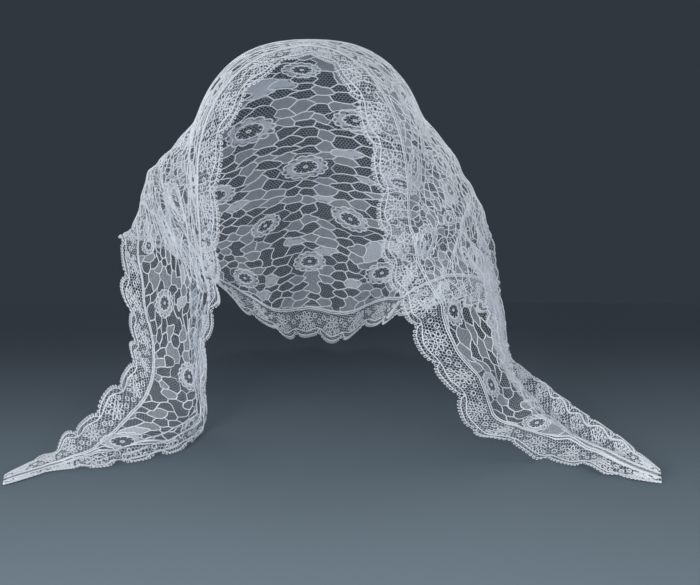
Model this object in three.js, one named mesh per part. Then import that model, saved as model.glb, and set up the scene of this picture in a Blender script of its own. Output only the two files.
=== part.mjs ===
// A triangular lace head veil, a mantilla, in the form that it takes when it is worn: its long front edge frames
// the face, its back point hangs behind the neck, and its two tails lie forward on the surface below.
// Millimetres, +Z up. The origin is where the veil rests on the top of the head, and the wearer faces -Y.
import * as THREE from "three";

// The flat cut is a triangle: a long straight front edge, and a rounded back point opposite it.
const frontEdge = 960;
const crownStretch = 100;
const pointFall = 250;
const pointRounding = 120;
const rearHollow = 1.25;
const tipWidth = 9;
const halfEdge = frontEdge / 2;
const veilDepth = crownStretch + pointFall;

// The cloth and its edging.
const clothWall = 1.3;
const borderWidth = 28;
const scallopPitch = 30;
const scallopDepth = 6;
const seamGap = 0.9;

// The space that a head takes under the crown, and how far below the crown the tails lie.
const headWidth = 164;
const headLength = 186;
const headHeight = 200;
const headSetBack = 1;
const headSideways = -4;
const headRoundness = 2.5;
const hangHeight = 256;

// How finely the cloth is faceted: panel columns to a rear scallop, and rows from seam to seam.
const columnsPerScallop = 2;
const panelRows = 20;
const borderRows = 3;

// Sections of the draped cloth, from a tail's tip to the crown and on to the other tip. "edge" is the place of
// the section on the front edge, as a share of its half. Each rail is [side, back, fall]: side and back are
// shares of halfEdge, and fall, the way down from the crown, is a share of hangHeight.
const sections = [
  { edge: -1, front: [-0.417, -0.292, 0.998], fore: [-0.417, -0.285, 0.994], rear: [-0.417, -0.279, 0.988], hem: [-0.417, -0.273, 0.984] },
  { edge: -0.92, front: [-0.35, -0.246, 1], fore: [-0.358, -0.231, 0.994], rear: [-0.367, -0.219, 0.988], hem: [-0.373, -0.206, 0.984] },
  { edge: -0.83, front: [-0.279, -0.233, 1], fore: [-0.298, -0.206, 0.984], rear: [-0.317, -0.179, 0.969], hem: [-0.335, -0.152, 0.945] },
  { edge: -0.71, front: [-0.188, -0.183, 1], fore: [-0.208, -0.146, 0.965], rear: [-0.24, -0.104, 0.91], hem: [-0.273, -0.067, 0.844] },
  { edge: -0.62, front: [-0.158, -0.11, 0.992], fore: [-0.179, -0.092, 0.914], rear: [-0.221, -0.062, 0.824], hem: [-0.273, -0.027, 0.742] },
  { edge: -0.5, front: [-0.15, -0.104, 0.762], fore: [-0.192, -0.067, 0.672], rear: [-0.252, 0.004, 0.578], hem: [-0.287, 0.046, 0.562] },
  { edge: -0.33, front: [-0.106, -0.125, 0.484], fore: [-0.215, -0.017, 0.363], rear: [-0.25, 0.115, 0.43], hem: [-0.21, 0.163, 0.695] },
  { edge: -0.17, front: [-0.085, -0.106, 0.195], fore: [-0.179, 0.067, 0.258], rear: [-0.167, 0.167, 0.566], hem: [-0.094, 0.196, 0.906] },
  { edge: 0, front: [-0.004, -0.05, 0.016], fore: [-0.004, 0.16, 0.176], rear: [0, 0.208, 0.605], hem: [0, 0.204, 0.977] },
  { edge: 0.17, front: [0.056, -0.133, 0.203], fore: [0.171, 0.062, 0.258], rear: [0.167, 0.163, 0.566], hem: [0.094, 0.196, 0.922] },
  { edge: 0.33, front: [0.083, -0.158, 0.438], fore: [0.206, -0.046, 0.395], rear: [0.229, 0.092, 0.523], hem: [0.179, 0.154, 0.828] },
  { edge: 0.5, front: [0.129, -0.16, 0.668], fore: [0.223, -0.092, 0.648], rear: [0.265, 0.004, 0.688], hem: [0.246, 0.079, 0.801] },
  { edge: 0.62, front: [0.185, -0.183, 0.836], fore: [0.252, -0.127, 0.836], rear: [0.279, -0.042, 0.844], hem: [0.275, 0.021, 0.906] },
  { edge: 0.71, front: [0.231, -0.204, 0.938], fore: [0.281, -0.152, 0.93], rear: [0.315, -0.092, 0.914], hem: [0.327, -0.046, 0.922] },
  { edge: 0.83, front: [0.333, -0.221, 1], fore: [0.352, -0.183, 0.984], rear: [0.371, -0.154, 0.965], hem: [0.39, -0.127, 0.945] },
  { edge: 0.92, front: [0.396, -0.258, 1], fore: [0.41, -0.233, 0.988], rear: [0.423, -0.212, 0.973], hem: [0.435, -0.194, 0.965] },
  { edge: 1, front: [0.469, -0.287, 0.998], fore: [0.469, -0.281, 0.992], rear: [0.469, -0.273, 0.98], hem: [0.469, -0.265, 0.977] },
];

// Folds that stand off the smooth drape. "from" and "to" are places on the front edge, "starts" and "ends" are
// shares of the way from the front edge to the hem, "along" is the way in which the waves follow each other, and
// the two lifts, at the start and at the end of that way, are shares of halfEdge.
const folds = [
  { name: "left cheek pleats", from: -0.76, to: -0.28, starts: 0.04, ends: 0.5, along: "depth", waves: 1.5, startLift: 0.022, endLift: 0.024 },
  { name: "left hem ripple", from: -0.97, to: -0.42, starts: 0.55, ends: 1.0, along: "edge", waves: 6, startLift: 0.0, endLift: 0.008 },
  { name: "back folds", from: -0.36, to: 0.4, starts: 0.42, ends: 1.0, along: "edge", waves: 5, startLift: 0.0, endLift: 0.016 },
  { name: "right side folds", from: 0.24, to: 0.97, starts: 0.36, ends: 1.0, along: "depth", waves: 1.5, startLift: 0.012, endLift: 0.012 },
  { name: "right edge ripple", from: 0.3, to: 0.99, starts: 0.0, ends: 0.5, along: "edge", waves: 5, startLift: 0.01, endLift: 0.0 },
];
const foldFade = 0.1;

// The depth of the flat cut under a place on the front edge, from its edge to the rear edge.
function cutDepth(edge) {
  const reach = Math.hypot(halfEdge, pointRounding) - pointRounding;
  const run = Math.hypot(edge * halfEdge, pointRounding) - pointRounding;
  return tipWidth + (veilDepth - tipWidth) * (1 - run / reach) ** rearHollow;
}

// The four rails, as curves through the sections.
const railNames = ["front", "fore", "rear", "hem"];
const rails = railNames.map((rail) => {
  const points = sections.map(({ [rail]: [side, back, fall] }) =>
    new THREE.Vector3(side * halfEdge, back * halfEdge, -fall * hangHeight));
  return new THREE.CatmullRomCurve3(points, false, "catmullrom", 0.5);
});

// A rail's point over a place on the front edge.
function railPoint(rail, edge) {
  const last = sections.length - 2;
  const after = sections.findIndex((section) => section.edge > edge);
  const row = after < 0 ? last : THREE.MathUtils.clamp(after - 1, 0, last);
  const share = (edge - sections[row].edge) / (sections[row + 1].edge - sections[row].edge);
  return rail.getPoint((row + share) / (sections.length - 1));
}

// The cubic through the four rails, a third of the way apart.
function smoothDrape(edge, depth) {
  const place = 3 * depth;
  const point = new THREE.Vector3();
  rails.forEach((rail, own) => {
    let weight = 1;
    for (let other = 0; other < rails.length; other++) {
      if (other !== own) weight *= (place - other) / (own - other);
    }
    point.addScaledVector(railPoint(rail, edge), weight);
  });
  return point;
}

// How far the folds lift the cloth at a place.
function foldLift(edge, depth) {
  let lift = 0;
  for (const fold of folds) {
    const alongEdge = (edge - fold.from) / (fold.to - fold.from);
    const alongDepth = (depth - fold.starts) / (fold.ends - fold.starts);
    const insideEdge = THREE.MathUtils.smoothstep(edge, fold.from, fold.from + foldFade)
      * THREE.MathUtils.smoothstep(-edge, -fold.to, -fold.to + foldFade);
    const growth = THREE.MathUtils.smoothstep(alongDepth, 0, 1);
    const size = THREE.MathUtils.lerp(fold.startLift, fold.endLift, growth) * halfEdge;
    if (fold.along === "edge") {
      lift += insideEdge * size * Math.sin(2 * Math.PI * fold.waves * alongEdge);
    } else if (alongDepth > 0) {
      const insideDepth = fold.ends < 1 ? THREE.MathUtils.smoothstep(1 - alongDepth, 0, foldFade) : 1;
      lift += insideEdge * insideDepth * size * Math.sin(2 * Math.PI * fold.waves * alongDepth);
    }
  }
  return lift;
}

// Cloth that would pass through the head is eased out to it, and nothing passes below the surface.
const headHalf = new THREE.Vector3(headWidth, headLength, headHeight).divideScalar(2).addScalar(clothWall / 2);
const headCentre = new THREE.Vector3(headSideways, headSetBack, -headHeight / 2);
const headEasing = 50;
function clearOfHead(point) {
  const off = point.clone().sub(headCentre);
  const shares = off.clone().divide(headHalf).toArray();
  const reach = Math.pow(shares.reduce((sum, share) => sum + Math.abs(share) ** headRoundness, 0), 1 / headRoundness);
  const eased = Math.pow(Math.pow(reach, headEasing) + 1, 1 / headEasing);
  point.copy(headCentre).addScaledVector(off, eased / reach);
  point.z = Math.max(point.z, clothWall / 2 - hangHeight);
  return point;
}

// The middle of the cloth's wall at a place: the smooth drape, lifted by the folds.
const step = 0.004;
function drape(edge, depth) {
  const low = Math.max(edge - step, -1);
  const high = Math.min(edge + step, 1);
  const across = smoothDrape(high, depth).sub(smoothDrape(low, depth));
  const down = smoothDrape(edge, depth + step).sub(smoothDrape(edge, depth - step));
  const facing = across.cross(down).normalize();
  return clearOfHead(smoothDrape(edge, depth).addScaledVector(facing, foldLift(edge, depth)));
}

// The columns of facets, evenly spaced along the front edge, shared by the panel and its edgings.
const hemLength = 2 * Math.hypot(halfEdge, veilDepth);
const hemScallops = Math.round(hemLength / scallopPitch);
const frontScallops = Math.round(frontEdge / scallopPitch);
const columnCount = columnsPerScallop * hemScallops;
const columnEdge = (column) => (2 * column) / columnCount - 1;

// One side of the wall at a column: side is 1 for the outer face and -1 for the inner one.
function wallPoint(column, depth, side) {
  const before = drape(columnEdge(Math.max(column - 1, 0)), depth);
  const after = drape(columnEdge(Math.min(column + 1, columnCount)), depth);
  const edge = columnEdge(column);
  const down = drape(edge, depth + step).sub(drape(edge, depth - step));
  const facing = after.sub(before).cross(down).normalize();
  return drape(edge, depth).addScaledVector(facing, (side * clothWall) / 2);
}

// Where the seams lie at each column, as distances from the front edge. Past the panel's two ends the front
// and the back edging meet each other.
const panelTip = 1;
const seams = Array.from({ length: columnCount + 1 }, (_, column) => {
  const cut = cutDepth(columnEdge(column));
  const roomByPanel = (cut - panelTip) / 2 - seamGap;
  return { cut, width: Math.min(borderWidth, roomByPanel), panelRoom: roomByPanel > borderWidth };
});
const firstPanelColumn = seams.findIndex((seam) => seam.panelRoom) - 1;
const lastPanelColumn = columnCount - firstPanelColumn;
seams.forEach((seam, column) => {
  if (column < firstPanelColumn || column > lastPanelColumn) seam.width = (seam.cut - seamGap) / 2;
});

// A closed sheet between two faces, each a grid of points: faces[side][column][row].
function closedSheet([outer, inner]) {
  const columns = outer.length;
  const rows = outer[0].length;
  const positions = [...outer.flat(), ...inner.flat()].flatMap((point) => point.toArray());
  const at = (side, column, row) => side * columns * rows + column * rows + row;
  const indices = [];
  const quad = (a, b, c, d) => indices.push(a, b, c, a, c, d);
  for (let column = 0; column < columns - 1; column++) {
    for (let row = 0; row < rows - 1; row++) {
      quad(at(0, column, row), at(0, column + 1, row), at(0, column + 1, row + 1), at(0, column, row + 1));
      quad(at(1, column, row), at(1, column, row + 1), at(1, column + 1, row + 1), at(1, column + 1, row));
    }
    const last = rows - 1;
    quad(at(0, column, 0), at(1, column, 0), at(1, column + 1, 0), at(0, column + 1, 0));
    quad(at(0, column, last), at(0, column + 1, last), at(1, column + 1, last), at(1, column, last));
  }
  for (let row = 0; row < rows - 1; row++) {
    const last = columns - 1;
    quad(at(0, 0, row), at(0, 0, row + 1), at(1, 0, row + 1), at(1, 0, row));
    quad(at(0, last, row), at(1, last, row), at(1, last, row + 1), at(0, last, row + 1));
  }
  const geometry = new THREE.BufferGeometry();
  geometry.setAttribute("position", new THREE.Float32BufferAttribute(positions, 3));
  geometry.setIndex(indices);
  geometry.computeVertexNormals();
  return geometry;
}

// The net panel, from seam to seam.
function panelGeometry() {
  const face = (side) => {
    const columns = [];
    for (let column = firstPanelColumn; column <= lastPanelColumn; column++) {
      const { cut, width } = seams[column];
      const start = (width + seamGap) / cut;
      const points = [];
      for (let row = 0; row <= panelRows; row++) {
        points.push(wallPoint(column, THREE.MathUtils.lerp(start, 1 - start, row / panelRows), side));
      }
      columns.push(points);
    }
    return columns;
  };
  return closedSheet([face(1), face(-1)]);
}

// An edging with a scalloped outer edge, on half columns. Its inner edge follows the panel's facets. "atHem" is
// false for the front edging and true for the one along the rear edges.
function borderGeometry(scallops, atHem) {
  const halves = 2;
  const face = (side) => {
    const columns = [];
    for (let half = 0; half <= halves * columnCount; half++) {
      const column = Math.min(Math.floor(half / halves), columnCount - 1);
      const share = half / halves - column;
      const bump = Math.abs(Math.sin((Math.PI * scallops * half) / (halves * columnCount)));
      const points = [];
      for (let row = 0; row <= borderRows; row++) {
        const ends = [seams[column], seams[column + 1]].map(({ cut, width }, end) => {
          const valley = Math.min(scallopDepth, width / 2) * (1 - bump);
          const fromEdge = THREE.MathUtils.lerp(valley, width, row / borderRows);
          return wallPoint(column + end, atHem ? 1 - fromEdge / cut : fromEdge / cut, side);
        });
        points.push(ends[0].lerp(ends[1], share));
      }
      columns.push(atHem ? points.reverse() : points);
    }
    return columns;
  };
  return closedSheet([face(1), face(-1)]);
}

// The veil, each piece with the colour of its white nylon lace.
function lacePiece(name, geometry, colour) {
  const material = new THREE.MeshStandardMaterial({ name, color: colour, roughness: 0.75, metalness: 0 });
  const mesh = new THREE.Mesh(geometry, material);
  mesh.name = name;
  return mesh;
}

const veil = new THREE.Group();
veil.name = "mantilla_veil";
veil.add(lacePiece("lace_panel", panelGeometry(), 0xdfe4ea));
veil.add(lacePiece("front_border", borderGeometry(frontScallops, false), 0xeef1f5));
veil.add(lacePiece("back_border", borderGeometry(hemScallops, true), 0xe7ebf0));

export default veil;
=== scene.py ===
"""A triangular white lace head veil, a mantilla, in the form that it takes when it is worn.
Metres, +Z up; the origin is where the veil rests on the wearer's crown, and the wearer faces -Y."""

import math
import random

import bmesh
import bpy
import numpy as np
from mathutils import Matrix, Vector, bvhtree, noise


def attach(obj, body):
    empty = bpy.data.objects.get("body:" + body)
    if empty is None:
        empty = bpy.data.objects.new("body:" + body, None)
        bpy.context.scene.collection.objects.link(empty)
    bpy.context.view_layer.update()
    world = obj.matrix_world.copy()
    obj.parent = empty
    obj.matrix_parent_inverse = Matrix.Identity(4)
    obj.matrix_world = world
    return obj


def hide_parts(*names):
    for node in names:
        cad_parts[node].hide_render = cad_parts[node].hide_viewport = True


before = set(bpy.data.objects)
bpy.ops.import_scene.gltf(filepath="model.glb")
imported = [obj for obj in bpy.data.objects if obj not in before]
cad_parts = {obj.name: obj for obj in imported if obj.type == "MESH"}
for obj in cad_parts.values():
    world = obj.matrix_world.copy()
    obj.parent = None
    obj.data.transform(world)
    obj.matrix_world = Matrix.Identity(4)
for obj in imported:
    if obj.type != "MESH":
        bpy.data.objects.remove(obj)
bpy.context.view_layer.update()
scene = bpy.context.scene

# The camera stands a little above the veil, in front of it and looking slightly down, with a long lens.
camera_data = bpy.data.cameras.new("studio_camera")
camera_data.sensor_fit = "HORIZONTAL"
camera_data.sensor_width = 36.0
camera_data.lens = 95.51
camera = bpy.data.objects.new("studio_camera", camera_data)
camera.location = (0.0238, -1.2216, 0.27033)
camera.rotation_euler = (math.radians(70.0), 0.0, 0.0)
scene.collection.objects.link(camera)
scene.camera = camera

# The cloth is one flat triangle of machine-knitted white nylon lace, worn loose with nothing to pin it. Its
# long front edge goes over the crown, its rounded back point hangs behind, and its two tails lie forward on
# the surface below. Sizes are millimetres here, and an edge place is a share of half the front edge.
FRONT_EDGE = 960.0
HALF_EDGE = FRONT_EDGE / 2
VEIL_DEPTH = 350.0
POINT_ROUNDING = 120.0
REAR_HOLLOW = 1.25
TIP_WIDTH = 9.0
HANG_HEIGHT = 256.0
CLOTH_WALL = 1.3

# Sections from one tip to the other: the edge place, then four rails from the front edge to the hem. Each is
# sideways and back in shares of half the front edge, and down in shares of the hang.
sections = [
    (-1.00, (-0.417, -0.292, 0.998), (-0.417, -0.285, 0.994), (-0.417, -0.279, 0.988), (-0.417, -0.273, 0.984)),
    (-0.92, (-0.350, -0.246, 1.000), (-0.358, -0.231, 0.994), (-0.367, -0.219, 0.988), (-0.373, -0.206, 0.984)),
    (-0.83, (-0.279, -0.233, 1.000), (-0.298, -0.206, 0.984), (-0.317, -0.179, 0.969), (-0.335, -0.152, 0.945)),
    (-0.71, (-0.188, -0.183, 1.000), (-0.208, -0.146, 0.965), (-0.240, -0.104, 0.910), (-0.273, -0.067, 0.844)),
    (-0.62, (-0.158, -0.110, 0.992), (-0.179, -0.092, 0.914), (-0.221, -0.062, 0.824), (-0.273, -0.027, 0.742)),
    (-0.50, (-0.150, -0.104, 0.762), (-0.192, -0.067, 0.672), (-0.252, 0.004, 0.578), (-0.287, 0.046, 0.562)),
    (-0.33, (-0.106, -0.125, 0.484), (-0.215, -0.017, 0.363), (-0.250, 0.115, 0.430), (-0.210, 0.163, 0.695)),
    (-0.17, (-0.085, -0.106, 0.195), (-0.179, 0.067, 0.258), (-0.167, 0.167, 0.566), (-0.094, 0.196, 0.906)),
    (0.00, (-0.004, -0.050, 0.016), (-0.004, 0.160, 0.176), (0.000, 0.208, 0.605), (0.000, 0.204, 0.977)),
    (0.17, (0.056, -0.133, 0.203), (0.171, 0.062, 0.258), (0.167, 0.163, 0.566), (0.094, 0.196, 0.922)),
    (0.33, (0.083, -0.158, 0.438), (0.206, -0.046, 0.395), (0.229, 0.092, 0.523), (0.179, 0.154, 0.828)),
    (0.50, (0.129, -0.160, 0.668), (0.223, -0.092, 0.648), (0.265, 0.004, 0.688), (0.246, 0.079, 0.801)),
    (0.62, (0.185, -0.183, 0.836), (0.252, -0.127, 0.836), (0.279, -0.042, 0.844), (0.275, 0.021, 0.906)),
    (0.71, (0.231, -0.204, 0.938), (0.281, -0.152, 0.930), (0.315, -0.092, 0.914), (0.327, -0.046, 0.922)),
    (0.83, (0.333, -0.221, 1.000), (0.352, -0.183, 0.984), (0.371, -0.154, 0.965), (0.390, -0.127, 0.945)),
    (0.92, (0.396, -0.258, 1.000), (0.410, -0.233, 0.988), (0.423, -0.212, 0.973), (0.435, -0.194, 0.965)),
    (1.00, (0.469, -0.287, 0.998), (0.469, -0.281, 0.992), (0.469, -0.273, 0.980), (0.469, -0.265, 0.977)),
]
# Folds: from and to (edge places), starts and ends (shares of the depth), the way that the waves run in,
# their number, and their lift at the start and at the end, in shares of half the front edge.
folds = [
    (-0.97, -0.42, 0.55, 1.00, "edge", 6, 0.000, 0.008),
    (-0.36, 0.40, 0.42, 1.00, "edge", 5, 0.000, 0.016),
    (0.24, 0.97, 0.36, 1.00, "depth", 1.5, 0.008, 0.008),
    (0.30, 0.99, 0.00, 0.50, "edge", 5, 0.010, 0.000),
    (-0.95, 0.95, 0.00, 0.30, "edge", 31, 0.002, 0.001),
]
FOLD_FADE = 0.1


def cut_depth(edge):
    """The depth of the flat cut under a place on the front edge."""
    reach = math.hypot(HALF_EDGE, POINT_ROUNDING) - POINT_ROUNDING
    run = np.hypot(edge * HALF_EDGE, POINT_ROUNDING) - POINT_ROUNDING
    return TIP_WIDTH + (VEIL_DEPTH - TIP_WIDTH) * np.clip(1 - run / reach, 0, 1) ** REAR_HOLLOW


def smoothstep(x, low, high):
    """0 up to the low value, 1 from the high one on, and a smooth change between."""
    t = np.clip((x - low) / (high - low), 0, 1)
    return t * t * (3 - 2 * t)


section_edges = np.array([row[0] for row in sections])
rails = []
for rail in range(1, 5):
    points = np.array([row[rail] for row in sections]) * (HALF_EDGE, HALF_EDGE, -HANG_HEIGHT)
    rails.append(np.vstack([2 * points[0] - points[1], points, 2 * points[-1] - points[-2]]))


def rail_point(points, edge):
    """A Catmull-Rom curve through a rail's points, at the given places on the front edge."""
    row = np.clip(np.searchsorted(section_edges, edge, side="right") - 1, 0, len(sections) - 2)
    share = ((edge - section_edges[row]) / (section_edges[row + 1] - section_edges[row]))[..., None]
    a, b, c, d = (points[row + k] for k in range(4))
    rise, leave = (c - a) / 2, (d - b) / 2
    cubic = 2 * (b - c) + rise + leave
    return b + share * (rise + share * (3 * (c - b) - 2 * rise - leave + share * cubic))


def smooth_drape(edge, depth):
    """The cubic through the four rails, a third of the way apart."""
    place = 3 * depth[..., None]
    point = 0
    for own in range(4):
        weight = 1
        for other in range(4):
            if other != own:
                weight = weight * (place - other) / (own - other)
        point = point + weight * rail_point(rails[own], edge)
    return point


def fold_lift(edge, depth):
    """How far the folds lift the cloth off the smooth drape."""
    lift = np.zeros(np.broadcast(edge, depth).shape)
    for first, last, starts, ends, way, waves, start_lift, end_lift in folds:
        along_edge = (edge - first) / (last - first)
        along_depth = (depth - starts) / (ends - starts)
        inside = smoothstep(edge, first, first + FOLD_FADE) * smoothstep(-edge, -last, -last + FOLD_FADE)
        size = (start_lift + (end_lift - start_lift) * smoothstep(along_depth, 0, 1)) * HALF_EDGE
        if way == "edge":
            lift = lift + inside * size * np.sin(2 * math.pi * waves * along_edge)
        else:
            wave = np.sin(2 * math.pi * waves * along_depth)
            lift = lift + np.where(along_depth > 0, inside * size * wave, 0)
    return lift


# The drape is worked out once, on a fine grid over the cut.
EDGE_STEPS, DEPTH_STEPS = 1920, 240
grid_edge, grid_depth = np.meshgrid(
    np.linspace(-1, 1, EDGE_STEPS + 1), np.linspace(0, 1, DEPTH_STEPS + 1), indexing="ij")


def running_sum(steps):
    """Sums along the depth, from 0 at the front edge."""
    return np.hstack([np.zeros((EDGE_STEPS + 1, 1)), np.cumsum(steps, axis=1)])


def pleated_zone(starts, is_full, leaves, ends):
    """1 where the cloth is pleated between two depths, and 0 outside them."""
    return smoothstep(grid_depth, starts, is_full) * smoothstep(-grid_depth, -ends, -leaves)


# Where the way from the front edge to the hem is shorter than the cut is deep, the spare cloth lies in close
# pleats that run down to the tail: next to the front edge in the right tail, at the outer turn in the left.
PLEATS = 3
CLOSEST_PLEATING = 0.25
TALLEST_PLEAT = 5.0
HEIGHT_FOR_SPARE = 0.37
PLEATS_FADE_IN = (0.26, 0.44)
SIDES_MEET = 0.15
way_down = running_sum(np.linalg.norm(np.diff(smooth_drape(grid_edge, grid_depth), axis=1), axis=-1))
on_left = smoothstep(grid_edge, -SIDES_MEET, SIDES_MEET)
pleated = ((1 - on_left) * pleated_zone(0.00, 0.06, 0.40, 0.50)
           + on_left * pleated_zone(0.42, 0.50, 0.78, 0.88))
pleated_share = running_sum(pleated[:, 1:] + pleated[:, :-1]) / (2 * DEPTH_STEPS)
fullness = way_down[:, -1:] / cut_depth(grid_edge[:, :1])
gathered = np.clip(1 - (1 - fullness) / pleated_share[:, -1:], CLOSEST_PLEATING, 1)
faded_in = smoothstep(np.abs(grid_edge), *PLEATS_FADE_IN)
closeness = 1 - (1 - gathered) * pleated * faded_in
reached = running_sum(closeness[:, 1:] + closeness[:, :-1])
reached = reached / reached[:, -1:] * way_down[:, -1:]
hung_depth = np.array([np.interp(to, way, grid_depth[0]) for to, way in zip(reached, way_down)])
pleat_length = gathered * pleated_share[:, -1:] * cut_depth(grid_edge) / PLEATS
pleat_height = np.minimum(pleat_length * HEIGHT_FOR_SPARE * np.sqrt(1 / closeness - 1), TALLEST_PLEAT)
pleat_height = pleat_height * pleated * faded_in
pleat_lift = pleat_height * np.sin(2 * math.pi * PLEATS * pleated_share / pleated_share[:, -1:])

# Folds and pleats lift the cloth off the smooth drape. It is then pushed clear of the round form that it is
# worn on, and kept above the surface below.
STEP = 0.004
WORN_ON_HALF = np.array([82.65, 93.65, 100.65])
WORN_ON_CENTRE = np.array([-4, 1, -100])
WORN_ON_SQUARENESS = 2.5
WORN_ON_SHARPNESS = 50
CLEARED_OUT_TO = 4
low, high = np.maximum(grid_edge - STEP, -1), np.minimum(grid_edge + STEP, 1)
across = smooth_drape(high, hung_depth) - smooth_drape(low, hung_depth)
down = smooth_drape(grid_edge, hung_depth + STEP) - smooth_drape(grid_edge, hung_depth - STEP)
facing = np.cross(across, down)
facing /= np.linalg.norm(facing, axis=-1, keepdims=True)
drape_grid = smooth_drape(grid_edge, hung_depth)
drape_grid = drape_grid + facing * (fold_lift(grid_edge, hung_depth) + pleat_lift)[..., None]
off_centre = drape_grid - WORN_ON_CENTRE
reach = (np.abs(off_centre / WORN_ON_HALF) ** WORN_ON_SQUARENESS).sum(-1) ** (1 / WORN_ON_SQUARENESS)
cleared = (np.minimum(reach, CLEARED_OUT_TO) ** WORN_ON_SHARPNESS + 1) ** (1 / WORN_ON_SHARPNESS)
drape_grid = np.where(
    (reach < CLEARED_OUT_TO)[..., None],
    WORN_ON_CENTRE + off_centre * (cleared / reach)[..., None], drape_grid)
drape_grid[..., 2] = np.maximum(drape_grid[..., 2], CLOTH_WALL / 2 - HANG_HEIGHT)
out_grid = np.cross(np.gradient(drape_grid, axis=0), np.gradient(drape_grid, axis=1))
out_grid /= np.linalg.norm(out_grid, axis=-1, keepdims=True)


def draped(flat):
    """Flat millimetres (along the front edge, away from it, off the cloth) as places on the drape."""
    edge = np.clip(flat[:, 0] / HALF_EDGE, -1, 1)
    depth = np.clip(flat[:, 1] / cut_depth(edge), 0, 1)
    x, y = (edge + 1) / 2 * EDGE_STEPS, depth * DEPTH_STEPS
    i, j = np.minimum(x.astype(int), EDGE_STEPS - 1), np.minimum(y.astype(int), DEPTH_STEPS - 1)
    fx, fy = (x - i)[:, None], (y - j)[:, None]

    def between(grid):
        return ((grid[i, j] * (1 - fx) + grid[i + 1, j] * fx) * (1 - fy)
                + (grid[i, j + 1] * (1 - fx) + grid[i + 1, j + 1] * fx) * fy)
    return (between(drape_grid) + between(out_grid) * flat[:, 2:3]) / 1000


def hang(bm, name, material):
    """Makes a flat bmesh, in millimetres on the cut, a piece of the hanging veil with its cut as UV map."""
    mesh = bpy.data.meshes.new(name)
    bm.to_mesh(mesh)
    bm.free()
    flat = np.empty(len(mesh.vertices) * 3)
    mesh.vertices.foreach_get("co", flat)
    flat = flat.reshape(-1, 3)
    corner = np.empty(len(mesh.loops), int)
    mesh.loops.foreach_get("vertex_index", corner)
    mesh.uv_layers.new(name="cut").data.foreach_set("uv", (flat[corner, :2] / 1000).ravel())
    mesh.vertices.foreach_set("co", draped(flat).ravel())
    mesh.shade_smooth()
    mesh.materials.append(material)
    piece = bpy.data.objects.new(name, mesh)
    scene.collection.objects.link(piece)
    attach(piece, "root")
    return piece


# The threads are drawn in the materials, on the flat cut, by two shader groups: one for the net's holes and
# one for the spun yarn that net and cords are made of.
def nodes_of(material):
    """A material's node tree and its shader."""
    material.use_nodes = True
    tree = material.node_tree
    return tree, tree.nodes["Principled BSDF"]


def shader_group(name, inputs, outputs):
    """A shader node group with its sockets, and its input and output nodes."""
    group = bpy.data.node_groups.new(name, "ShaderNodeTree")
    for in_out, sockets in (("INPUT", inputs), ("OUTPUT", outputs)):
        for socket, kind in sockets:
            group.interface.new_socket(socket, in_out=in_out, socket_type="NodeSocket" + kind)
    return group, group.nodes.new("NodeGroupInput"), group.nodes.new("NodeGroupOutput")


def vector_step(tree, operation, first, second=None, result="Vector"):
    """The result of a vector sum whose inputs are sockets or values."""
    node = tree.nodes.new("ShaderNodeVectorMath")
    node.operation = operation
    for socket, value in zip(node.inputs, (first, second)):
        if isinstance(value, bpy.types.NodeSocket):
            tree.links.new(value, socket)
        elif value is not None:
            socket.default_value = value
    return node.outputs[result]


def math_step(tree, operation, first, second=0.5):
    """The result of a sum whose inputs are sockets or values."""
    node = tree.nodes.new("ShaderNodeMath")
    node.operation = operation
    for socket, value in zip(node.inputs, (first, second)):
        if isinstance(value, bpy.types.NodeSocket):
            tree.links.new(value, socket)
        else:
            socket.default_value = value
    return node.outputs[0]


# The net group draws the threads of a hexagonal net on the flat cut: 1 on a thread and 0 in its holes. Two
# staggered grids of middles cover the net, and the nearer middle's hexagon counts.
net_group, net_in, net_out = shader_group(
    "hexagon_net", (("Cut", "Vector"), ("Across", "Float"), ("Thread", "Float")),
    (("Mask", "Float"), ("Height", "Float")))
HEX, HALF_HEX = (1.0, math.sqrt(3), 1.0), (0.5, math.sqrt(3) / 2, 0.5)
ALL_POSITIVE = 500
scale_node = net_group.nodes.new("ShaderNodeVectorMath")
scale_node.operation = "SCALE"
net_group.links.new(net_in.outputs["Cut"], scale_node.inputs[0])
net_group.links.new(math_step(net_group, "DIVIDE", 1.0, net_in.outputs["Across"]), scale_node.inputs["Scale"])
place = vector_step(net_group, "MULTIPLY", scale_node.outputs[0], (1, 1, 0))
ways = []
for shift in ((0, 0, 0), HALF_HEX):
    shifted = (ALL_POSITIVE * HEX[0] + shift[0], ALL_POSITIVE * HEX[1] + shift[1], 0)
    moved = vector_step(net_group, "ADD", place, shifted)
    wrapped = vector_step(net_group, "MODULO", moved, HEX)
    centred = vector_step(net_group, "SUBTRACT", wrapped, (*HALF_HEX[:2], 0))
    ways.append(vector_step(net_group, "ABSOLUTE", centred))
spans = [vector_step(net_group, "LENGTH", way, result="Value") for way in ways]
nearer = math_step(net_group, "LESS_THAN", spans[0], spans[1])
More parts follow.
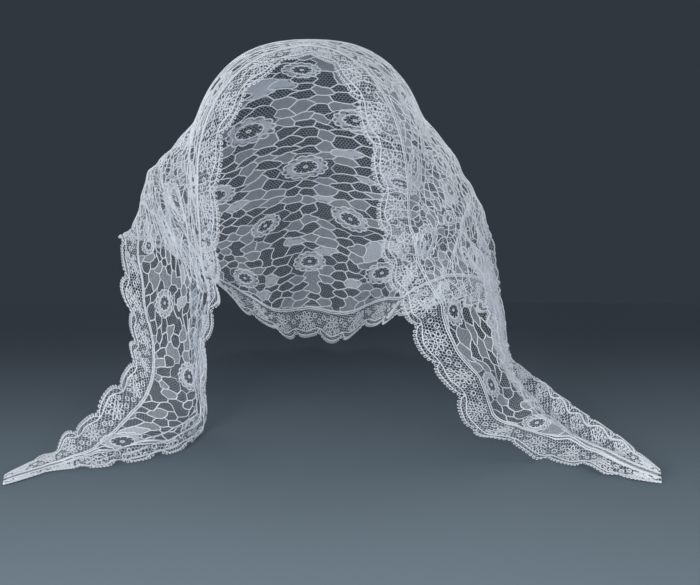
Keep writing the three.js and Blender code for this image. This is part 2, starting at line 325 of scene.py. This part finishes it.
# A Mix node has sockets of one name for every kind of value, so they are told apart by number.
VECTOR_A, VECTOR_B, COLOR_A, COLOR_B, COLOR_RESULT = 4, 5, 6, 7, 2
pick = net_group.nodes.new("ShaderNodeMix")
pick.data_type = "VECTOR"
net_group.links.new(nearer, pick.inputs["Factor"])
net_group.links.new(ways[1], pick.inputs[VECTOR_A])
net_group.links.new(ways[0], pick.inputs[VECTOR_B])
slant = vector_step(net_group, "DOT_PRODUCT", pick.outputs[1], (*HALF_HEX[:2], 0), result="Value")
upright = vector_step(net_group, "DOT_PRODUCT", pick.outputs[1], (1, 0, 0), result="Value")
far = math_step(net_group, "MAXIMUM", slant, upright)
half_thread = math_step(net_group, "DIVIDE", net_in.outputs["Thread"], net_in.outputs["Across"])
rim = math_step(net_group, "SUBTRACT", 0.5, math_step(net_group, "MULTIPLY", half_thread, 0.5))
net_group.links.new(math_step(net_group, "GREATER_THAN", far, rim), net_out.inputs["Mask"])
over_rim = math_step(net_group, "MAXIMUM", math_step(net_group, "SUBTRACT", far, rim), 0.0)
net_group.links.new(math_step(net_group, "DIVIDE", over_rim, half_thread), net_out.inputs["Height"])

# The spun nylon group gives every thread its faint twist and grain, and the cloth its slow change from clean
# to cool white where it has been handled.
nylon_group, nylon_in, nylon_out = shader_group(
    "spun_nylon", (("Cut", "Vector"), ("Clean", "Color"), ("Cool", "Color")),
    (("Color", "Color"), ("Roughness", "Float"), ("Height", "Float")))
patches = nylon_group.nodes.new("ShaderNodeTexNoise")
patches.inputs["Scale"].default_value = 45.0
grain = nylon_group.nodes.new("ShaderNodeTexNoise")
grain.inputs["Scale"].default_value = 2600.0
twist = nylon_group.nodes.new("ShaderNodeTexWave")
twist.bands_direction = "DIAGONAL"
twist.inputs["Scale"].default_value = 260.0
twist.inputs["Distortion"].default_value = 1.5
for texture in (patches, grain, twist):
    nylon_group.links.new(nylon_in.outputs["Cut"], texture.inputs["Vector"])
tint = nylon_group.nodes.new("ShaderNodeMix")
tint.data_type = "RGBA"
rough_grain = math_step(nylon_group, "ADD", grain.outputs["Fac"], 0.5)
worn = math_step(nylon_group, "MULTIPLY", patches.outputs["Fac"], rough_grain)
nylon_group.links.new(worn, tint.inputs["Factor"])
nylon_group.links.new(nylon_in.outputs["Clean"], tint.inputs[COLOR_A])
nylon_group.links.new(nylon_in.outputs["Cool"], tint.inputs[COLOR_B])
nylon_group.links.new(tint.outputs[COLOR_RESULT], nylon_out.inputs["Color"])
half_grain = math_step(nylon_group, "MULTIPLY", grain.outputs["Fac"], 0.3)
nylon_group.links.new(math_step(nylon_group, "ADD", half_grain, 0.42), nylon_out.inputs["Roughness"])
twisted = math_step(nylon_group, "ADD", half_grain, twist.outputs["Fac"])
nylon_group.links.new(twisted, nylon_out.inputs["Height"])


def spin_nylon(material, clean, cool, sheen, bump):
    """Gives a material the spun nylon's colour, roughness and relief, and returns what more it needs."""
    tree, shader = nodes_of(material)
    shader.inputs["Sheen Weight"].default_value = sheen
    shader.inputs["Sheen Roughness"].default_value = 0.4
    cut_map = tree.nodes.new("ShaderNodeUVMap")
    cut_map.uv_map = "cut"
    nylon = tree.nodes.new("ShaderNodeGroup")
    nylon.node_tree = nylon_group
    nylon.inputs["Clean"].default_value = clean
    nylon.inputs["Cool"].default_value = cool
    relief = tree.nodes.new("ShaderNodeBump")
    relief.inputs["Strength"].default_value = bump
    relief.inputs["Distance"].default_value = 0.0002
    tree.links.new(cut_map.outputs["UV"], nylon.inputs["Cut"])
    tree.links.new(nylon.outputs["Color"], shader.inputs["Base Color"])
    tree.links.new(nylon.outputs["Roughness"], shader.inputs["Roughness"])
    tree.links.new(nylon.outputs["Height"], relief.inputs["Height"])
    tree.links.new(relief.outputs["Normal"], shader.inputs["Normal"])
    return tree, shader, cut_map, nylon, relief


def knit_net(tree, cut_map, across_mm, thread_mm):
    """A net in a material, by the millimetres across its holes and its threads."""
    net = tree.nodes.new("ShaderNodeGroup")
    net.node_tree = net_group
    net.inputs["Across"].default_value = across_mm / 1000
    net.inputs["Thread"].default_value = thread_mm / 1000
    tree.links.new(cut_map.outputs["UV"], net.inputs["Cut"])
    return net


# The panel is the veil's body: a fine hexagonal net of white nylon, with patches knitted close between raised
# outlines. It is one thin sheet, cut to a triangle and sewn to the edgings all round, so its holes are in its
# material. Each patch is open net, close knit or nearly solid, and an attribute says which.
NET_CLEAN, NET_COOL = (0.84, 0.89, 0.96, 1.0), (0.66, 0.73, 0.84, 1.0)
panel_material = bpy.data.materials.new("panel_net")
tree, shader, cut_map, nylon, relief = spin_nylon(panel_material, NET_CLEAN, NET_COOL, 0.25, 0.35)
close = tree.nodes.new("ShaderNodeAttribute")
close.attribute_name = "close_knit"
OPEN, CLOSE, SOLID = 0.0, 0.5, 1.0
nets = [knit_net(tree, cut_map, *gauge) for gauge in ((2.0, 0.13), (1.0, 0.2), (0.85, 0.38))]
alpha, height = nets[0].outputs["Mask"], nets[0].outputs["Height"]
for net, limit in ((nets[1], (OPEN + CLOSE) / 2), (nets[2], (CLOSE + SOLID) / 2)):
    is_closer = math_step(tree, "GREATER_THAN", close.outputs["Fac"], limit)
    pair = []
    for open_value, closer_value in ((alpha, net.outputs["Mask"]), (height, net.outputs["Height"])):
        chosen = tree.nodes.new("ShaderNodeMix")
        tree.links.new(is_closer, chosen.inputs["Factor"])
        tree.links.new(open_value, chosen.inputs[2])
        tree.links.new(closer_value, chosen.inputs[3])
        pair.append(chosen.outputs[0])
    alpha, height = pair
tree.links.new(alpha, shader.inputs["Alpha"])
tree.links.new(math_step(tree, "ADD", height, nylon.outputs["Height"]), relief.inputs["Height"])

BORDER_WIDTH = 28.0
NARROWEST_PANEL = 2
PANEL_COLUMNS, PANEL_ROWS = 740, 110
PANEL_ENDS = 0.995


def seam_room(edge):
    """The cut's depth and the width of its two edgings at an edge place."""
    cut = cut_depth(edge)
    return cut, np.minimum(BORDER_WIDTH, (cut - NARROWEST_PANEL) / 2)


ground = bmesh.new()
bmesh.ops.create_grid(ground, x_segments=PANEL_COLUMNS, y_segments=PANEL_ROWS, size=1)
for vertex in ground.verts:
    edge = vertex.co.x * PANEL_ENDS
    cut, width = seam_room(edge)
    vertex.co = (edge * HALF_EDGE, width + (cut - 2 * width) * (vertex.co.y + 1) / 2, 0)

# Small flowers are knitted into the panel in staggered rows over the whole of it, each turned a little and of
# its own size. Their places are settled here, because the cells round them keep clear.
FLOWER_ALONG, FLOWER_DEEP = 12.5, 8.0
FLOWER_PITCH, FLOWER_ROWS, FLOWER_START = 61.5, 41.0, (300.0, 36.0)
FLOWER_ENDS, FLOWER_MARGIN = 0.86, 5
MOST_TURN, SMALLEST, LARGEST = 0.35, 0.85, 1.15
PETAL_RING = (0.6, 0.92)
rng = random.Random(5)
noise.seed_set(5)
flowers = []
for row in range(8):
    for column in range(-14, 4):
        u = FLOWER_START[0] + (column + (0.5 if row % 2 else 0)) * FLOWER_PITCH
        v = FLOWER_START[1] + row * FLOWER_ROWS
        cut, width = seam_room(u / HALF_EDGE)
        if abs(u) < FLOWER_ENDS * HALF_EDGE and width + FLOWER_MARGIN < v < cut - width - FLOWER_MARGIN:
            flowers.append((u, v, rng.uniform(-MOST_TURN, MOST_TURN), rng.uniform(SMALLEST, LARGEST)))


SEARCHED, FAR_OFF = 40, 9.0


def flower_reach(place):
    """How far a place on the cut is from the nearest flower's middle, in shares of that flower's size."""
    near = FAR_OFF
    for flower_u, flower_v, turn, size in flowers:
        across, down = place.x - flower_u, place.y - flower_v
        if abs(across) < SEARCHED and abs(down) < SEARCHED:
            along = across * math.cos(turn) + down * math.sin(turn)
            deep = down * math.cos(turn) - across * math.sin(turn)
            near = min(near, math.hypot(along / FLOWER_ALONG, deep / FLOWER_DEEP) / size)
    return near


# Raised outline cords of soft nylon yarn, run in as the lace is knitted, close the patches into long curving
# cells. They start as a honeycomb on the flat cut that is pulled about, with a few of its cords left out.
CELL_ALONG, CELL_DEEP = 12.0, 7.4
CELL_STRAYS = (2.4, 1.3)
CELL_ENDS, CELL_MARGIN = 0.89, 2
LEFT_OUT = 0.10
WANDERS = ((0.06, 3.4), (0.2, 1.6))
SMALLEST_CELL = 4
CLEAR_OF_FLOWER = 1.2
columns = round(FRONT_EDGE / CELL_ALONG)
rows = 2 * round(VEIL_DEPTH / CELL_DEEP)
cells = bmesh.new()
bmesh.ops.create_grid(cells, x_segments=columns, y_segments=rows, size=1)
place_of = {v: (round((v.co.x + 1) / 2 * columns), round((v.co.y + 1) / 2 * rows)) for v in cells.verts}
spare = []
for cell_edge in cells.edges:
    (column, row), (other_column, other_row) = (place_of[v] for v in cell_edge.verts)
    if row == other_row and ((min(column, other_column) + row) % 2 or rng.random() < LEFT_OUT):
        spare.append(cell_edge)
for vertex, (column, row) in place_of.items():
    u = (column / columns * 2 - 1) * HALF_EDGE + CELL_ALONG / 4 * (-1 if (column + row) % 2 else 1)
    v = row / rows * VEIL_DEPTH
    along, deep = (rng.uniform(-stray, stray) for stray in CELL_STRAYS)
    vertex.co = (u + along, v + deep, 0)
bmesh.ops.dissolve_edges(cells, edges=spare)
outside = []
for face in cells.faces:
    centre = face.calc_center_median()
    cut, width = seam_room(centre.x / HALF_EDGE)
    near_edge, near_hem = width - CELL_MARGIN, cut - width + CELL_MARGIN
    if abs(centre.x) > CELL_ENDS * HALF_EDGE or not near_edge < centre.y < near_hem:
        outside.append(face)
bmesh.ops.delete(cells, geom=outside, context="FACES")
bmesh.ops.subdivide_edges(cells, edges=cells.edges[:], cuts=3)
for _ in range(5):
    bmesh.ops.smooth_vert(cells, verts=cells.verts, factor=0.5, use_axis_x=True, use_axis_y=True)
for vertex in cells.verts:
    slow, quick = (noise.noise_vector(vertex.co * pace) * size for pace, size in WANDERS)
    vertex.co += slow + quick
    cut, width = seam_room(vertex.co.x / HALF_EDGE)
    vertex.co.y = min(max(vertex.co.y, width), cut - width)
    vertex.co.z = 0
slivers = [face for face in cells.faces if face.calc_area() < SMALLEST_CELL
           or flower_reach(face.calc_center_median()) < CLEAR_OF_FLOWER]
bmesh.ops.delete(cells, geom=slivers, context="FACES")
bmesh.ops.recalc_face_normals(cells, faces=cells.faces[:])
cells.faces.index_update()

# Each cell of the panel gets its knit. The petals are nearly solid, and open net shows round the flowers.
UP_TO_OPEN, UP_TO_CLOSE = 0.62, 0.95
ROUND_FLOWER = 2.5
knit = []
for face in cells.faces:
    chance = rng.random()
    knit.append(OPEN if chance < UP_TO_OPEN else CLOSE if chance < UP_TO_CLOSE else SOLID)
tree_of_cells = bvhtree.BVHTree.FromBMesh(cells)
close_layer = ground.verts.layers.float.new("close_knit")
for vertex in ground.verts:
    near = flower_reach(vertex.co)
    hit = tree_of_cells.ray_cast(vertex.co + Vector((0, 0, 5)), Vector((0, 0, -1)))
    if PETAL_RING[0] < near < PETAL_RING[1]:
        vertex[close_layer] = SOLID
    elif hit[2] is not None:
        vertex[close_layer] = knit[hit[2]]
    else:
        vertex[close_layer] = OPEN if near < ROUND_FLOWER else CLOSE
SQUARE_METRE = 1e6
panel_area = sum(face.calc_area() for face in ground.faces) / SQUARE_METRE
panel = hang(ground, "lace_panel_net", panel_material)
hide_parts("lace_panel")

# The cords themselves: each cell is inset by half a cord, its middle is taken out, and the ridge where two
# cells meet is raised on both faces of the cloth.
CORD_WIDTH, CORD_LIFT = 0.9, 0.4
ridges = set(cells.verts)
ribbons = bmesh.ops.inset_individual(cells, faces=cells.faces[:], thickness=CORD_WIDTH / 2)
ribbon_faces = set(ribbons["faces"])
bmesh.ops.delete(cells, geom=[face for face in cells.faces if face not in ribbon_faces], context="FACES")
for vertex in ridges:
    vertex.co.z = CORD_LIFT
copied = bmesh.ops.duplicate(cells, geom=cells.faces[:])["geom"]
under = [item for item in copied if isinstance(item, bmesh.types.BMVert)]
bmesh.ops.scale(cells, vec=(1, 1, -1), verts=under)
bmesh.ops.reverse_faces(cells, faces=[item for item in copied if isinstance(item, bmesh.types.BMFace)])
bmesh.ops.remove_doubles(cells, verts=cells.verts[:], dist=0.02)
cord_material = bpy.data.materials.new("outline_cord")
spin_nylon(cord_material, (0.93, 0.96, 1.0, 1.0), (0.78, 0.84, 0.93, 1.0), 0.35, 0.5)
outlines = hang(cells, "panel_outline_cords", cord_material)

# Each flower is a close ring of small petals, knitted in with the panel, with a raised yarn cord round its
# lobes and another round its open middle, where short stamens and a small ring stand.
PETALS = 13
PETAL_LOBE = 0.16
LOBE_CORD, RING_CORD, STAMEN_CORD, EYE_CORD = 0.5, 0.45, 0.38, 0.4
STAMEN_ENDS, EYE_REACH = (0.56, 0.44), 0.1


def flower_outline(flower, share, corners, lobes=0.0):
    """A closed outline round a flower, at a share of its size, with or without the lobes of its petals."""
    flower_u, flower_v, turn, size = flower
    points = []
    for corner in range(corners + 1):
        angle = 2 * math.pi * corner / corners
        reach = size * (share + lobes * abs(math.sin(PETALS * angle / 2)) ** 0.7)
        along, deep = FLOWER_ALONG * reach * math.cos(angle), FLOWER_DEEP * reach * math.sin(angle)
        points.append((flower_u + along * math.cos(turn) - deep * math.sin(turn),
                       flower_v + along * math.sin(turn) + deep * math.cos(turn)))
    return points


def sew(threads, name, material):
    """Makes threads, each a half width and its flat points, round cords on the hanging veil."""
    curve = bpy.data.curves.new(name, "CURVE")
    curve.dimensions = "3D"
    curve.bevel_depth = 1.0
    curve.bevel_resolution = 0
    for half_width, points in threads:
        spline = curve.splines.new("POLY")
        spline.points.add(len(points) - 1)
        for point, (u, v) in zip(spline.points, points):
            point.co = (u, v, 0, 1)
            point.radius = half_width
    made = bpy.data.objects.new(name, curve)
    tube = bmesh.new()
    tube.from_mesh(made.to_mesh())
    made.to_mesh_clear()
    bpy.data.objects.remove(made)
    bpy.data.curves.remove(curve)
    return hang(tube, name, material)


threads = []
for flower in flowers:
    threads.append((LOBE_CORD, flower_outline(flower, PETAL_RING[1], 78, lobes=PETAL_LOBE)))
    threads.append((RING_CORD, flower_outline(flower, PETAL_RING[0], 26)))
    stamens = (flower_outline(flower, end, 9) for end in STAMEN_ENDS)
    threads.extend((STAMEN_CORD, list(stamen)) for stamen in zip(*stamens))
    threads.append((EYE_CORD, flower_outline(flower, EYE_REACH, 7)))
blooms = sew(threads, "panel_flowers", cord_material)

# The two edgings are scalloped strips of bolder white nylon net, each with its own cords, sewn along the
# panel's front edge and along its two rear edges. They meet at the tips of the tails.
SCALLOP_PITCH, SCALLOP_DEPTH = 30.0, 8.0
SCALLOP_STEPS, STRIP_ROWS = 14, 8
ROUNDNESS = 0.97
border_material = bpy.data.materials.new("border_net")
tree, shader, cut_map, nylon, relief = spin_nylon(border_material, NET_CLEAN, NET_COOL, 0.25, 0.35)
net = knit_net(tree, cut_map, 2.4, 0.34)
tree.links.new(net.outputs["Mask"], shader.inputs["Alpha"])
height = math_step(tree, "ADD", net.outputs["Height"], nylon.outputs["Height"])
tree.links.new(height, relief.inputs["Height"])

hem_edge = np.linspace(-1, 1, EDGE_STEPS + 1)
hem_way = np.hypot(np.diff(hem_edge) * HALF_EDGE, np.diff(cut_depth(hem_edge)))
hem_way = np.concatenate([[0], np.cumsum(hem_way)])


def on_border(scallop, share, at_hem, scallops):
    """A place on an edging, in scallops along it and as a share of its width, to the flat cut."""
    along = max(min(scallop / scallops, 1), 0)
    edge = float(np.interp(along * hem_way[-1], hem_way, hem_edge)) if at_hem else 2 * along - 1
    cut, width = seam_room(edge)
    return edge * HALF_EDGE, cut - share * width if at_hem else share * width


def valley(scallop):
    """How far the round scallops stand back from their peaks, as a share of the width."""
    across_scallop = 2 * (scallop % 1) - 1
    return SCALLOP_DEPTH / BORDER_WIDTH * (1 - math.sqrt(1 - ROUNDNESS * across_scallop ** 2))


# One scallop's threads, in scallop pitches along and shares of the width: a rail hung with picot loops, a
# cord that follows it, a knot ringed by petals, small rings at the seam and a double footing cord. The last
# line holds the threads' half widths in millimetres.
RAIL_GAP = 2.3 / BORDER_WIDTH
RAIL_PLACE, INNER_PLACE, INNER_WAVE = 1.15 * RAIL_GAP, 2.6 * RAIL_GAP, 0.07
PICOTS, PICOT_HALF = 11, (0.8, 1.15)
KNOT, KNOT_RADIUS = (0.5, 0.6), 1.7
SEAM_RINGS, SEAM_RING_RADIUS = ((0.0, 0.58), (0.17, 0.72), (0.83, 0.72)), 1.9
FOOTING, FOOTING_WAVE = (0.93, 0.985), 0.008
RAIL, FOLLOWER, PICOT_LOOP, KNOT_RING, PETAL_LOOP, SEAM_RING = 0.36, 0.45, 0.32, 0.42, 0.36, 0.34


def oval(along, deep, half_along, half_deep, turn=0.0, corners=8):
    """A closed loop round a place on a scallop, with its half sizes in millimetres."""
    points = []
    for corner in range(corners + 1):
        angle = 2 * math.pi * corner / corners
        x, y = half_along * math.cos(angle), half_deep * math.sin(angle)
        points.append((along + (x * math.cos(turn) - y * math.sin(turn)) / SCALLOP_PITCH,
                       deep + (x * math.sin(turn) + y * math.cos(turn)) / BORDER_WIDTH))
    return points


steps = [step / SCALLOP_STEPS for step in range(SCALLOP_STEPS + 1)]
scallop_threads = [
    (RAIL, [(x, valley(x) + RAIL_PLACE) for x in steps]),
    (FOLLOWER, [(x, INNER_PLACE + INNER_WAVE * (1 + math.cos(2 * math.pi * x))) for x in steps]),
]
for picot in range(PICOTS):
    x = (picot + 0.5) / PICOTS
    scallop_threads.append((PICOT_LOOP, oval(x, valley(x) + RAIL_GAP / 2, *PICOT_HALF, corners=6)))
scallop_threads.append((KNOT_RING, oval(*KNOT, KNOT_RADIUS, KNOT_RADIUS)))
# The knot's petals, then the loops outside them: the ring's radius, their number, the first and the last
# half turn, and a loop's half sizes.
for radius, petals, first, last, half_along, half_deep in (
        (4.9, 7, 0, 1.714, 2.3, 1.6),
        (9.3, 5, -0.82, -0.18, 1.6, 1.3)):
    for petal in range(petals):
        angle = math.pi * (first + (last - first) * petal / (petals - 1))
        along = KNOT[0] + radius * math.cos(angle) / SCALLOP_PITCH
        deep = KNOT[1] + radius * math.sin(angle) / BORDER_WIDTH
        scallop_threads.append((PETAL_LOOP, oval(along, deep, half_along, half_deep, angle)))
for place in SEAM_RINGS:
    scallop_threads.append((SEAM_RING, oval(*place, SEAM_RING_RADIUS, SEAM_RING_RADIUS)))
for share in FOOTING:
    scallop_threads.append(
        (FOLLOWER, [(x / 6, share + FOOTING_WAVE * math.sin(2 * math.pi * x / 3)) for x in range(7)]))

# The strips are hung first and their threads are sewn on after. The rear one runs along the hem.
for name, node, scallops, at_hem in (
        ("front_edging", "front_border", 32, False), ("rear_edging", "back_border", 40, True)):
    strip = bmesh.new()
    bmesh.ops.create_grid(strip, x_segments=scallops * SCALLOP_STEPS, y_segments=STRIP_ROWS, size=1)
    for vertex in strip.verts:
        scallop = (vertex.co.x + 1) / 2 * scallops
        rim = valley(scallop) + RAIL_PLACE
        share = rim + (1 - rim) * (vertex.co.y + 1) / 2
        vertex.co = (*on_border(scallop, share, at_hem, scallops), 0)
    if at_hem:
        bmesh.ops.reverse_faces(strip, faces=strip.faces[:])
    edging_area = sum(face.calc_area() for face in strip.faces) / SQUARE_METRE
    edging = hang(strip, name + "_net", border_material)
    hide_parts(node)
    threads = []
    for scallop in range(scallops):
        for half_width, points in scallop_threads:
            threads.append((half_width, [on_border(scallop + x, y, at_hem, scallops) for x, y in points]))
    cords = sew(threads, name + "_cords", cord_material)

# The studio has a plain slate floor, a slate surround, and soft lights from the front, from above and from
# behind. The floor's colour grows darker towards the back: this is painted shade, a light falloff painted into
# the floor so that its far part fades into the dark surround.
FLOOR_FRONT, FLOOR_BACK_PAINTED_SHADE = (0.235, 0.305, 0.355, 1), (0.043, 0.054, 0.070, 1)
FLOOR_PAINTED_SHADE_SPAN = (-0.35, 0.16)
floor_mesh = bpy.data.meshes.new("studio_floor")
floor_bm = bmesh.new()
bmesh.ops.create_grid(floor_bm, x_segments=1, y_segments=1, size=1)
bmesh.ops.scale(floor_bm, vec=(1.2, 0.72, 1), verts=floor_bm.verts)
bmesh.ops.translate(floor_bm, vec=(0, -0.52, -HANG_HEIGHT / 1000 - 0.0006), verts=floor_bm.verts)
floor_bm.to_mesh(floor_mesh)
floor_bm.free()
floor = bpy.data.objects.new("studio_floor", floor_mesh)
scene.collection.objects.link(floor)
floor_material = bpy.data.materials.new("floor_slate_painted_shade")
floor_tree, floor_shader = nodes_of(floor_material)
floor_place = floor_tree.nodes.new("ShaderNodeTexCoord")
floor_axes = floor_tree.nodes.new("ShaderNodeSeparateXYZ")
floor_tree.links.new(floor_place.outputs["Object"], floor_axes.inputs[0])
# Painted shade: the floor's colour is mixed from its front tone to a dark painted-shade tone along its depth,
# standing in for light falling off.
floor_painted_shade = floor_tree.nodes.new("ShaderNodeMapRange")
floor_painted_shade.interpolation_type = "SMOOTHSTEP"
floor_tree.links.new(floor_axes.outputs["Y"], floor_painted_shade.inputs["Value"])
floor_painted_shade.inputs["From Min"].default_value = FLOOR_PAINTED_SHADE_SPAN[0]
floor_painted_shade.inputs["From Max"].default_value = FLOOR_PAINTED_SHADE_SPAN[1]
floor_tone_and_painted_shade = floor_tree.nodes.new("ShaderNodeMix")
floor_tone_and_painted_shade.data_type = "RGBA"
floor_tone_and_painted_shade.inputs[COLOR_A].default_value = FLOOR_FRONT
floor_tone_and_painted_shade.inputs[COLOR_B].default_value = FLOOR_BACK_PAINTED_SHADE
floor_tree.links.new(floor_painted_shade.outputs[0], floor_tone_and_painted_shade.inputs["Factor"])
floor_tree.links.new(floor_tone_and_painted_shade.outputs[COLOR_RESULT], floor_shader.inputs["Base Color"])
floor_shader.inputs["Roughness"].default_value = 0.9
floor_shader.inputs["Specular IOR Level"].default_value = 0.0
floor_mesh.materials.append(floor_material)

world = bpy.data.worlds.new("slate_surround")
world.use_nodes = True
world.node_tree.nodes["Background"].inputs["Color"].default_value = (0.030, 0.038, 0.050, 1)
world.node_tree.nodes["Background"].inputs["Strength"].default_value = 1.0
scene.world = world
scene.view_settings.view_transform = "Standard"
for name, size, energy, place in (
        ("key", 0.9, 16, (-0.8, -1.3, 0.25)),
        ("fill", 1.0, 9, (0.9, -1.2, 0.15)),
        ("top", 0.7, 4, (0, 0.3, 1.0)),
        ("rear_left", 1.0, 7, (-0.9, 1.1, 0.25)),
        ("rear_right", 1.0, 7, (0.9, 1.1, 0.25))):
    light = bpy.data.lights.new(name, "AREA")
    light.size = size
    light.energy = energy
    lamp = bpy.data.objects.new(name, light)
    lamp.location = place
    lamp.rotation_euler = (Vector((0, 0, -0.12)) - lamp.location).to_track_quat("-Z", "Y").to_euler()
    scene.collection.objects.link(lamp)
